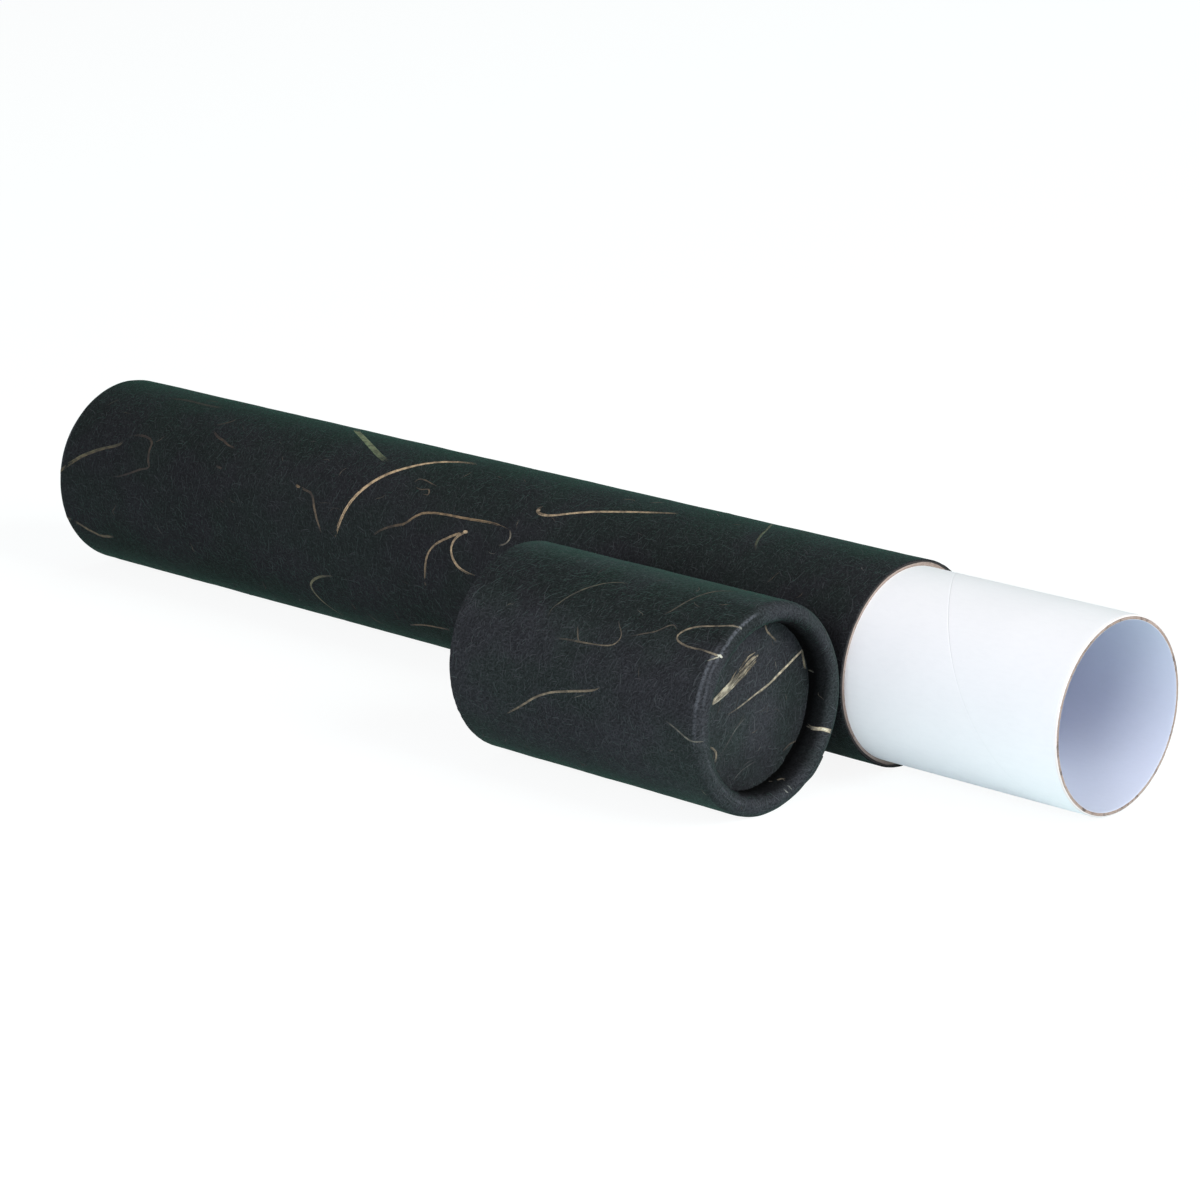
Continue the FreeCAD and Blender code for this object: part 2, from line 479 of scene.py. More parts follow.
def round_tube(wrap, face, closed_end_low, shift, seam):
    """What a sheet is rolled round: in mm, but for places in the frame. seam is in degrees."""
    low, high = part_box(wrap)
    rim, mouth = (low.x, high.x) if closed_end_low else (high.x, low.x)
    face_low, face_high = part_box(face)
    front = face_low.x if closed_end_low else face_high.x
    length = abs(rim - mouth) / MM
    recess = abs(front - rim) / MM
    return SimpleNamespace(
        mouth=mouth,
        inward=math.copysign(1, rim - mouth),
        axis=(low + high) / 2,
        radius=(high.z - low.z) / 2 / MM,
        straight=length - CURL,
        sheet=length - CURL + HALF_ROUND + recess - CURL,
        front=front,
        disc_radius=(face_high.z - face_low.z) / 2 / MM,
        shift=shift,
        seam=seam,
    )


tube = round_tube("body_wrap", "base_face_paper", True, Vector((0, 0, 0)), -125)
cap = round_tube("cap_wrap", "cap_face_paper", False, Vector((91, 37, 53)), -140)


def ease(value, low, high):
    """0 below low, 1 above high, smooth between."""
    share = min(max((value - low) / (high - low), 0), 1)
    return share * share * (3 - 2 * share)


def unevenness(on, along, turn):
    """How far the paper stands off the true form at a place of the flat sheet, in mm."""
    angle = turn / on.radius
    here = Vector((along, on.radius * math.sin(angle), on.radius * math.cos(angle)))
    here += on.shift
    off = sum(high * noise.noise(here / apart) for high, apart in UNEVEN)
    curled = along - on.straight
    if curled > 0:
        near, far = CREASE_INNER
        inner = near + (far - near) * ease(turn, *CREASE_STRAYS)
        for crease_at in (CREASE_OUTER, inner):
            wander = 0.25 * noise.noise(here / 11)
            strength = 0.4 + 0.6 * ease(noise.noise(here / 23), -0.25, 0.35)
            beside = (curled - crease_at - wander) / CREASE_WIDE
            off += CREASE_HIGH * strength * math.exp(-beside * beside)
        gathered = ease(curled, 4.5, 9.5)
        folds = abs(noise.noise(Vector((turn / 2.3, along / 8, 3.7)) + on.shift))
        off += gathered * (FOLD_HIGH * folds - FOLD_SUNK)
    return off


def roll(on, along, turn, off):
    """Where a point of the flat sheet comes to lie, in the frame, in metres.

    along is from the open end, turn is round from the top towards -Y, and off is above the
    paper's face, all in mm on the flat sheet.
    """
    off += unevenness(on, along, turn)
    if along < on.straight:
        x, r = along, on.radius + off
    elif along < on.straight + HALF_ROUND:
        bend = (along - on.straight) / CURL
        x = on.straight + (CURL + off) * math.sin(bend)
        r = on.radius - CURL + (CURL + off) * math.cos(bend)
    else:
        x = on.straight - (along - on.straight - HALF_ROUND)
        r = on.radius - 2 * CURL - off
    angle = turn / on.radius
    return Vector((
        on.mouth + on.inward * x * MM,
        on.axis.y - r * math.sin(angle) * MM,
        max(on.axis.z + r * math.cos(angle) * MM, 0),
    ))


def covering(on, wall_rows, rim_rows, columns):
    """The sheet of covering paper, made flat and then rolled round its tube."""
    bm = bmesh.new()
    start = on.radius * math.radians(on.seam)
    width = math.tau * on.radius + LAP
    for low, high, rows in ((0, on.straight, wall_rows), (on.straight, on.sheet, rim_rows)):
        part = bmesh.ops.create_grid(bm, x_segments=rows, y_segments=columns, size=0.5)["verts"]
        bmesh.ops.scale(bm, vec=(high - low, width, 1), verts=part)
        bmesh.ops.translate(bm, vec=((low + high) / 2, start + width / 2, 0), verts=part)
    bmesh.ops.remove_doubles(bm, verts=bm.verts, dist=0.01)
    bmesh.ops.solidify(bm, geom=bm.faces[:], thickness=PAPER)
    top = max(v.co.z for v in bm.verts)
    bmesh.ops.translate(bm, vec=(0, 0, -top), verts=bm.verts)
    flat = bm.loops.layers.uv.new("sheet")
    lip_from = on.straight + HALF_ROUND / 2 + LIP_BEGINS
    for face in bm.faces:
        for loop in face.loops:
            loop[flat].uv = loop.vert.co.xy
        middle = face.calc_center_median()
        ragged = 1.6 * noise.noise(Vector((middle.y / 5, 0, 3)))
        # Faces inside the rim get the copy of the paper without sheen, under the painted shade.
        face.material_index = middle.x > lip_from + ragged
    for vert in bm.verts:
        along, turn, off = vert.co
        lapped = ease(turn, start + width - LAP - LAP_CLIMB, start + width - LAP)
        torn = ease(turn, start + width - 1.2, start + width)
        trimmed = 1 - ease(along, 0, 1)
        turn += torn * 1.1 * noise.noise(Vector((along / 3, 0, 9)))
        along += trimmed * 0.3 * noise.noise(Vector((turn / 1.7, 5, 0)))
        vert.co = roll(on, along, turn, off + lapped * (PAPER + GLUE))
    bmesh.ops.recalc_face_normals(bm, faces=bm.faces)
    return bm


def offset(tree, place, by):
    """A place moved by another."""
    made = add(tree, "ShaderNodeVectorMath", {0: place, 1: by}, operation="ADD")
    return made.outputs["Vector"]


def scaled(tree, colour, by):
    """A colour made lighter or darker."""
    made = add(tree, "ShaderNodeVectorMath", {0: colour, "Scale": by}, operation="SCALE")
    return made.outputs["Vector"]


def rotated(tree, place, angle):
    """A place of the flat sheet turned by an angle."""
    sockets = {"Vector": place, "Angle": angle}
    return add(tree, "ShaderNodeVectorRotate", sockets, rotation_type="Z_AXIS").outputs["Vector"]


# Short curved fibres, one to each cell of a cell pattern, lying more along the grain than across.
tree, taken, given = new_group(
    "scattered_fibres",
    {
        "Place": "Vector",
        "Spacing": "Float",
        "Length": "Float",
        "Width": "Float",
        "Curve": "Float",
        "Grain turn": "Float",
    },
    {"Fibres": "Float"},
)
scattered = tree
cell = {"Vector": taken["Place"], "Scale": maths(tree, "DIVIDE", 1.0, taken["Spacing"])}
cells = add(tree, "ShaderNodeTexVoronoi", cell, voronoi_dimensions="2D").outputs
chance = add(tree, "ShaderNodeSeparateColor", {0: cells["Color"]}).outputs
from_middle = {0: taken["Place"], 1: cells["Position"]}
from_middle = add(tree, "ShaderNodeVectorMath", from_middle, operation="SUBTRACT").outputs[0]
heading = times(tree, minus(tree, chance["Red"], 0.5), 2.5)
heading = plus(tree, heading, taken["Grain turn"])
at = parts_of(tree, rotated(tree, from_middle, heading))
bow = times(tree, minus(tree, chance["Green"], 0.5), taken["Curve"])
bowed = times(tree, times(tree, at["X"], at["X"]), bow)
aside = maths(tree, "ABSOLUTE", minus(tree, at["Y"], bowed))
aside = maths(tree, "DIVIDE", aside, taken["Width"])
reach = times(tree, taken["Length"], plus(tree, chance["Blue"], 0.35))
ahead = maths(tree, "DIVIDE", maths(tree, "ABSOLUTE", at["X"]), reach)
thread_mask = span(tree, aside, 0.35, 1.0, 1.0, 0.0)
thread_mask = times(tree, thread_mask, span(tree, ahead, 0.3, 0.5, 1.0, 0.0))
strength = plus(tree, maths(tree, "POWER", chance["Green"], 3.0), 0.22)
feed(tree, given, {"Fibres": times(tree, thread_mask, strength)})

# The felted paper itself, over the flat sheet in mm.
tree, taken, given = new_group(
    "handmade_paper",
    {
        "Place": "Vector",
        "Charcoal": "Color",
        "Greenish": "Color",
        "Hair": "Color",
        "Grain turn": "Float",
        "Contrast": "Float",
        "Worn and highlit": "Float",
        "Painted shade": "Float",
    },
    LOOK,
)
felted = tree
clouds = grain(tree, taken["Place"], 1 / 38, 3.0)
mottle = grain(tree, taken["Place"], 1 / 5.5, 3.0, 0.6)
felt = grain(tree, taken["Place"], 1 / 0.75, 2.0, 0.6)
combed = rotated(tree, taken["Place"], taken["Grain turn"])
streaks = grain(tree, stretched(tree, combed, (1 / 5, 1 / 0.55, 1)), 1.0, 2.0)
tint = grain(tree, offset(tree, taken["Place"], (300, 90, 0)), 1 / 24, 2.0)
hairs = 0.0
for number, (spacing, length, width, curve, weight) in enumerate((
    (0.9, 1.3, 0.11, 0.5, 0.8),
    (1.3, 1.9, 0.12, 0.4, 0.9),
    (1.9, 2.8, 0.13, 0.3, 1.0),
    (2.6, 3.8, 0.14, 0.22, 1.1),
    (4.6, 6.4, 0.16, 0.14, 1.2),
)):
    sockets = {
        "Place": offset(tree, taken["Place"], (41.3 * number, 17.7 * number, 0)),
        "Spacing": spacing,
        "Length": length,
        "Width": width,
        "Curve": curve,
        "Grain turn": taken["Grain turn"],
    }
    layer = times(tree, placed(tree, scattered, sockets)["Fibres"], weight)
    hairs = maths(tree, "MAXIMUM", hairs, layer)
light = span(tree, clouds, 0.3, 0.7, 0.86, 1.14)
light = times(tree, light, span(tree, mottle, 0.25, 0.75, 0.76, 1.24))
light = times(tree, light, span(tree, felt, 0.28, 0.72, 0.5, 1.5))
light = times(tree, light, span(tree, streaks, 0.3, 0.7, 0.8, 1.2))
light = maths(tree, "MULTIPLY_ADD", minus(tree, light, 1.0), taken["Contrast"], 1.0)
ground = blend(tree, span(tree, tint, 0.38, 0.62), taken["Charcoal"], taken["Greenish"])
haired = maths(tree, "MULTIPLY", hairs, taken["Contrast"], clamp=True)
colour = blend(tree, haired, scaled(tree, ground, light), taken["Hair"])
# This share lightens the colour: rubbed wear, and painted highlight on the rim.
worn_and_highlit = times(tree, taken["Worn and highlit"], span(tree, felt, 0.3, 0.62, 0.25, 1.0))
colour = blend(tree, worn_and_highlit, colour, WORN_AND_HIGHLIGHT_GREY)
look = {
    # Painted shade: the finished colour is darkened by its share.
    "Color": scaled(tree, colour, minus(tree, 1.0, taken["Painted shade"])),
    "Roughness": span(tree, mottle, 0.3, 0.7, 0.82, 0.96),
    "Height": weighed(tree, (felt, 0.9), (mottle, 0.8), (streaks, 0.3), (hairs, 0.55)),
}
feed(tree, given, look)

# A broken lighter line at one distance along the sheet, along a crease of the rolled rim: rubbed wear,
# and painted highlight where it follows the straying inner crease.
tree, taken, given = new_group(
    "rubbed_and_highlit_crease",
    {"Place": "Vector", "Along": "Float", "Width": "Float", "Strength": "Float"},
    {"Worn and highlit": "Float"},
)
crease_line = tree
along = parts_of(tree, taken["Place"])["X"]
wander = times(tree, grain(tree, taken["Place"], 1 / 9, 1.0), 0.5)
near = minus(tree, plus(tree, along, wander), taken["Along"])
near = maths(tree, "ABSOLUTE", minus(tree, near, 0.25))
near = span(tree, maths(tree, "DIVIDE", near, taken["Width"]), 0.15, 1.0, 1.0, 0.0)
broken = span(tree, grain(tree, taken["Place"], 1 / 7, 3.0, 0.65), 0.33, 0.55, 0.45, 1.0)
broken = times(tree, broken, taken["Strength"])
feed(tree, given, {"Worn and highlit": times(tree, near, broken)})


def paper_material(name, painted_lightness, contrast, grain_turn, marks, sheen=0.09):
    """The covering paper of one piece, over its flat sheet, with its marks, painted highlight and
    painted shade, its colours made lighter by a factor that is painted light.
    """
    made, tree, principled = new_material(
        name,
        Specular_IOR_Level=0.05,
        Sheen_Weight=sheen,
        Sheen_Roughness=0.3,
        Sheen_Tint=SHEEN_GREEN,
    )
    place = add(tree, "ShaderNodeUVMap", uv_map="sheet").outputs["UV"]
    worn_and_highlit, painted_shade = marks(tree, place)
    sockets = {
        "Place": place,
        "Grain turn": grain_turn,
        "Contrast": contrast,
        "Worn and highlit": worn_and_highlit,
        "Painted shade": painted_shade,
    }
    for socket, colour, share in (
        ("Charcoal", PAPER_CHARCOAL, 1.0),
        ("Greenish", PAPER_GREENISH, 1.0),
        ("Hair", HAIR_GREY, 0.8),
    ):
        tone = 1 + (painted_lightness - 1) * share
        sockets[socket] = tuple(part * tone for part in colour[:3]) + (1,)
    dress(tree, principled, placed(tree, felted, sockets), PAPER_RELIEF)
    return made


def within(tree, value, opens, open_from, shut_from, shuts):
    """1 where a value lies between two bounds, fading out over the given spans."""
    inner = span(tree, value, opens, open_from)
    return times(tree, inner, span(tree, value, shut_from, shuts, 1.0, 0.0))


def rolled_marks(on, darker_by):
    """Marks on a rolled sheet: rubbed creases and painted highlight on the rim, painted shade down the
    lip, and the given painted darkening.
    """
    crest = on.straight + HALF_ROUND / 2
    outer = on.straight + CREASE_OUTER
    inner = [on.straight + place for place in CREASE_INNER]

    def marks(tree, place):
        at = parts_of(tree, place)
        most_rubbed = within(tree, at["Y"], 20, 28, 38, 62)
        strays = span(tree, at["Y"], *CREASE_STRAYS, *inner)
        sharp = within(tree, at["Y"], 4, 9, 22, 34)
        long_line = times(tree, within(tree, at["Y"], 14, 28, 84, 96), 0.3)
        long_line = maths(tree, "MAXIMUM", long_line, 0.08)
        # Lighter toward the rim's crest: painted highlight where the rim faces the lamps. The outer
        # crease is rubbed wear; the line along the straying inner crease is painted highlight as well
        # as wear.
        worn_and_highlit = span(tree, at["X"], crest - 4.6, crest - 1.4, 0.0, 0.11)
        for along, width, strength in (
            (outer, 0.9, times(tree, most_rubbed, 0.62)),
            (strays, 0.8, maths(tree, "MAXIMUM", sharp, long_line)),
        ):
            sockets = {"Place": place, "Along": along, "Width": width, "Strength": strength}
            worn_and_highlit = maths(tree, "MAXIMUM", placed(tree, crease_line, sockets)["Worn and highlit"], worn_and_highlit)
        # Painted shade: down the inside of the rolled rim the paper is darkened, deepest toward the
        # disc, where little light reaches. Over part of the sheet it starts nearer the crest, where the
        # inside of the rim faces away from the lamps.
        early = times(tree, within(tree, at["Y"], -57, -42, -12, 0), 1.2)
        shaded_along = plus(tree, at["X"], early)
        painted_shade = span(tree, shaded_along, crest + 0.8, crest + 4.5, 0.0, 0.76)
        painted_shade = plus(tree, painted_shade, span(tree, shaded_along, crest + 5.2, crest + 8.5, 0.0, 0.18))
        return worn_and_highlit, maths(tree, "MAXIMUM", painted_shade, darker_by(tree, at))

    return marks


def tube_darkening(tree, at):
    """Painted shade low on the tube's front and underside, where less light falls; the sheet is also
    drawn darker towards its closed end.
    """
    low_down = times(tree, within(tree, at["Y"], 52, 72, 84, 100), 0.25)
    return plus(tree, low_down, span(tree, at["X"], 210, 330, 0.0, 0.12))


def cap_top_shade(tree, at):
    """Painted shade: a darker band along the upper side of the cap."""
    return times(tree, within(tree, at["Y"], 2, 8, 20, 30), 0.27)


# The paper's lightness per piece is painted light: the cap is the same paper as the tube, drawn lighter
# for the stronger light that falls on it.
for on, name, node, rows, painted_lightness, contrast, darkening in (
    (tube, "tube_paper", "body_wrap", (100, 34, 250), 1.06, 0.58, tube_darkening),
    (cap, "cap_paper", "cap_wrap", (40, 36, 288), 1.36, 0.74, cap_top_shade),
):
    marks = rolled_marks(on, darkening)
    paper = paper_material(f"{name}_felt", painted_lightness, contrast, GRAIN_TURN, marks)
    # A copy of the paper without sheen, for inside the rim, where shade is painted.
    lip = paper_material(f"{name}_lip", painted_lightness, contrast, GRAIN_TURN, marks, sheen=0.0)
    sheet = new_piece(covering(on, *rows), name, [paper, lip], math.radians(60))
    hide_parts(node)

# ---------------------------------------------------------------- rounds of paper on the discs
# A round of the same paper is glued on the face of each end disc before the rim is rolled in
# over its edge. Both are set back behind the rim.

DISC_STEPS = 144
DISC_RINGS = 24
ROUND_GRAIN_TURN = -0.95  # radians from +Y


def lay_on_disc(on, y, z, off):
    """A point of the disc's face, given from the tube's axis, and how far it stands off, in mm."""
    rise = 0.10 * noise.noise(Vector((y / 7, z / 7, 0)) + on.shift)
    off += rise + 0.25 * ease(math.hypot(y, z), 18, 27)
    return Vector((
        on.front + on.inward * off * MM,
        on.axis.y + y * MM,
        on.axis.z + z * MM,
    ))


def base_marks(tree, place):
    """The round at the tube's closed end has no rubbed marks and no painted shade."""
    return 0.0, 0.0


def cap_marks(tree, place):
    """The cap's round is darkened toward one side of its edge: painted shade beside the lip."""
    at = parts_of(tree, place)
    off_middle = length_of(tree, place)
    aslant = times(tree, minus(tree, at["X"], at["Y"]), 0.7)
    edge = times(tree, span(tree, off_middle, 9, 18), span(tree, aslant, -8, 12))
    return 0.0, times(tree, edge, 0.3)


# The cap's round is the same paper again, drawn lighter still: painted light on its face, which is
# turned to the lamps.
for on, name, node, painted_lightness, contrast, marks in (
    (tube, "base_round", "base_face_paper", 1.06, 0.58, base_marks),
    (cap, "cap_round", "cap_face_paper", 1.76, 0.66, cap_marks),
):
    bm = bmesh.new()
    spoke = [bm.verts.new((0, 0, on.disc_radius * k / DISC_RINGS)) for k in range(DISC_RINGS + 1)]
    lines = [bm.edges.new(pair) for pair in zip(spoke, spoke[1:])]
    bmesh.ops.spin(
        bm, geom=spoke + lines, cent=(0, 0, 0), axis=(1, 0, 0), angle=math.tau,
        steps=DISC_STEPS, use_merge=True,
    )
    bmesh.ops.remove_doubles(bm, verts=bm.verts, dist=1e-5)
    bmesh.ops.solidify(bm, geom=bm.faces[:], thickness=PAPER)
    back = min(v.co.x for v in bm.verts)
    bmesh.ops.translate(bm, vec=(-back - PAPER, 0, 0), verts=bm.verts)
    flat = bm.loops.layers.uv.new("sheet")
    for face in bm.faces:
        for loop in face.loops:
            loop[flat].uv = loop.vert.co.yz
    for vert in bm.verts:
        vert.co = lay_on_disc(on, vert.co.y, vert.co.z, vert.co.x)
    bmesh.ops.recalc_face_normals(bm, faces=bm.faces)
    paper = paper_material(f"{name}_felt", painted_lightness, contrast, ROUND_GRAIN_TURN, marks)
    face_round = new_piece(bm, name, [paper])
    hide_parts(node)

# ---------------------------------------------------------------- bast fibres in the paper
# Long tan strands of mulberry bast are strewn in the pulp of the sheet. Each is a flat bundle
# of fine threads that part at the ends, lies in the sheet's face and dips under it in places.
# Where the rim is rolled, they bend over it with the paper.

THREAD_STEPS = 22
THREAD_THICK = 0.16  # mm
THREAD_PITCH = 0.32  # how far apart a strand's threads lie, mm
BAST_RELIEF = 0.05 * MM
OLIVE = (0.96, 1.04, 0.88)
GOLDEN = 0.618  # the fractions of its multiples are evenly spread
UNDERSIDE = (168, 205)  # degrees round
COUNTED_OVER = 93  # degrees round that a count of strands is for


def along_values(values, share):
    """The value at a share of the way along evenly spaced values."""
    place = share * (len(values) - 1)
    leg = min(int(place), len(values) - 2)
    return values[leg] + (values[leg + 1] - values[leg]) * (place - leg)


def smooth_route(route, share):
    """The place at a share of the way along a smooth line through the route's points."""
    last = len(route) - 1
    leg = min(int(share * last), last - 1)
    t = share * last - leg
    before, here, there, after = (route[min(max(leg + k, 0), last)] for k in (-1, 0, 1, 2))
    return 0.5 * (
        2 * here
        + (there - before) * t
        + (2 * before - 5 * here + 4 * there - after) * t ** 2
        + (3 * here - before - 3 * there + after) * t ** 3
    )


rod = bmesh.new()
bmesh.ops.create_cone(rod, cap_ends=True, segments=6, radius1=0.5, radius2=0.5, depth=1.0)
bmesh.ops.rotate(rod, verts=rod.verts, matrix=Euler((0, math.pi / 2, 0)).to_matrix())
lengthwise = [e for e in rod.edges if abs(e.verts[0].co.x - e.verts[1].co.x) > 0.5]
bmesh.ops.subdivide_edges(rod, edges=lengthwise, cuts=THREAD_STEPS - 1, use_grid_fill=True)
rod_mesh = bpy.data.meshes.new("straight_thread")
rod.to_mesh(rod_mesh)
rod.free()


def thread(bm, lay, route, wide, aside, ends, tone, shown, chance):
    """One fine thread: a six-sided rod bent along the route, aside from its middle line."""
    before = len(bm.verts)
    bm.from_mesh(rod_mesh)
    bm.verts.ensure_lookup_table()
    shown_layer = bm.verts.layers.float["shown"]
    tone_layer = bm.verts.layers.float["tone"]
    for vert in bm.verts[before:]:
        share = ends[0] + (ends[1] - ends[0]) * (vert.co.x + 0.5)
        own = 2 * abs(vert.co.x)
        here = smooth_route(route, share)
        behind = smooth_route(route, max(share - 0.01, 0))
        ahead = smooth_route(route, min(share + 0.01, 1)) - behind
        across = Vector((-ahead.y, ahead.x)).normalized()
        wander = 0.16 * noise.noise(Vector((share * 5, chance, 0)))
        taper = 1 - 0.85 * own ** 4
        spread = aside * (1 + 0.5 * abs(2 * share - 1) ** 3) + wander
        place = here + across * (spread + vert.co.y * wide * taper)
        sunk = -0.05 * own ** 3
        vert[shown_layer] = shown(share) * (1 - 0.8 * own ** 6)
        vert[tone_layer] = tone
        vert.co = lay(place.x, place.y, vert.co.z * THREAD_THICK * taper + sunk)


def bast(bm, lay, route, wide, tone, shown, rng):
    """A strand: as many threads side by side as its width takes, each with its own ends."""
    count = max(1, round(wide / THREAD_PITCH))

    def surfaced(share):
        return along_values(shown, share)

    for number in range(count):
        aside = ((number + 0.5) / count - 0.5) * wide * 0.8
        loose = 0.02 + 0.05 * (count > 1)
        ends = (rng.uniform(0, loose), 1 - rng.uniform(0, loose))
        thread_wide = wide / count * rng.uniform(1.0, 1.35)
        thread_tone = tone + rng.uniform(-0.06, 0.06)
        thread(bm, lay, route, thread_wide, aside, ends, thread_tone, surfaced, rng.uniform(0, 99))


def wandering(rng, start, heading, length, bend):
    """A route that sets off from a place and turns steadily, then more at its end, in mm."""
    route = [Vector(start)]
    turns_back = rng.random() < 0.35
    for step in range(5):
        if turns_back and step == 3:
            bend = -1.4 * bend
        heading += bend * (1 + 0.5 * step) * rng.uniform(0.2, 1.5)
        route.append(route[-1] + Vector((math.cos(heading), math.sin(heading))) * length / 5)
    return route


def strewn(bm, lay, rng, count, low, high, lengths, wide, shown, tones, bends=(0.05, 0.5)):
    """Strands that lie anyhow between two corners of the flat sheet."""
    for number in range(count):
        shares = ((number + rng.random()) / count, (number * GOLDEN + 0.3 * rng.random()) % 1)
        start = [low[k] + (high[k] - low[k]) * shares[k] for k in range(2)]
        length = rng.uniform(*lengths)
        bend = rng.choice((-1, 1)) * rng.uniform(*bends)
        route = wandering(rng, start, rng.uniform(0, math.tau), length, bend)
        if all(low[k] <= p[k] <= high[k] for p in route for k in range(2)):
            most = rng.uniform(*shown)
            along = (0.2 * most, most, 0.5 * most)
            bast(bm, lay, route, rng.uniform(*wide), rng.uniform(*tones), along, rng)


def knot(bm, lay, place, size, tone, shown):
    """The knob at a strand's end where bast is matted together, across in mm."""
    before = len(bm.verts)
    bmesh.ops.create_icosphere(bm, subdivisions=2, radius=size / 2)
    bm.verts.ensure_lookup_table()
    for vert in bm.verts[before:]:
        vert[bm.verts.layers.float["shown"]] = shown
        vert[bm.verts.layers.float["tone"]] = tone
        lump = 1 + 1.1 * noise.noise(vert.co * 2.4 / size + Vector((*place, 0)))
        at = vert.co * lump
        vert.co = lay(place[0] + at.x * 1.4, place[1] + at.y * 0.85, at.z * 0.35)


def new_fibres():
    """A bmesh whose points say how far a thread shows through the paper, and its tone."""
    bm = bmesh.new()
    bm.verts.layers.float.new("shown")
    bm.verts.layers.float.new("tone")
    return bm


# Bast as it shows: its own tan or green, faded by age and dye, and buried where paper covers it.
tree, taken, given = new_group(
    "bast_strand",
    {"Place": "Vector", "Tone": "Float", "Shown": "Float", "Faded": "Float"},
    LOOK,
)
bast_strand = tree
ramp = add(tree, "ShaderNodeValToRGB", {"Fac": taken["Tone"]})
stops = (
    (0.0, (0.165, 0.235, 0.12, 1)),
    (0.2, (0.23, 0.15, 0.075, 1)),
    (0.45, (0.42, 0.265, 0.135, 1)),
    (0.65, (0.58, 0.40, 0.23, 1)),
    (0.85, (0.78, 0.65, 0.47, 1)),
    (1.0, (0.42, 0.44, 0.46, 1)),
)
for at, colour in stops[1:-1]:
    ramp.color_ramp.elements.new(at)
for element, (at, colour) in zip(ramp.color_ramp.elements, stops):
    element.position = at
    element.color = colour
own_colour = ramp.outputs["Color"]
grey = add(tree, "ShaderNodeRGBToBW", {0: own_colour}).outputs[0]
faded = blend(tree, taken["Faded"], own_colour, scaled(tree, OLIVE, grey))
patchy = span(tree, grain(tree, taken["Place"], 520.0, 3.0), 0.36, 0.62, 0.5, 1.12)
showing = maths(tree, "MULTIPLY", taken["Shown"], patchy, clamp=True)
silk = span(tree, grain(tree, taken["Place"], 2600.0, 2.0), 0.3, 0.7, 0.75, 1.2)
look = {
    "Color": blend(tree, showing, PAPER_CHARCOAL, scaled(tree, faded, silk)),
    "Roughness": span(tree, silk, 0.7, 1.2, 0.62, 0.8),
    "Height": silk,
}
feed(tree, given, look)


def bast_material(name, faded):
    """The bast in one sheet of paper, faded by so much."""
    made, tree, principled = new_material(name, Specular_IOR_Level=0.25)
    sockets = {
        "Place": add(tree, "ShaderNodeTexCoord").outputs["Object"],
        "Tone": add(tree, "ShaderNodeAttribute", attribute_name="tone").outputs["Fac"],
        "Shown": add(tree, "ShaderNodeAttribute", attribute_name="shown").outputs["Fac"],
        "Faded": faded,
    }
    dress(tree, principled, placed(tree, bast_strand, sockets), BAST_RELIEF)
    return made


tube_bast = bast_material("tube_bast", 0.2)
cap_bast = bast_material("cap_bast", 0.5)

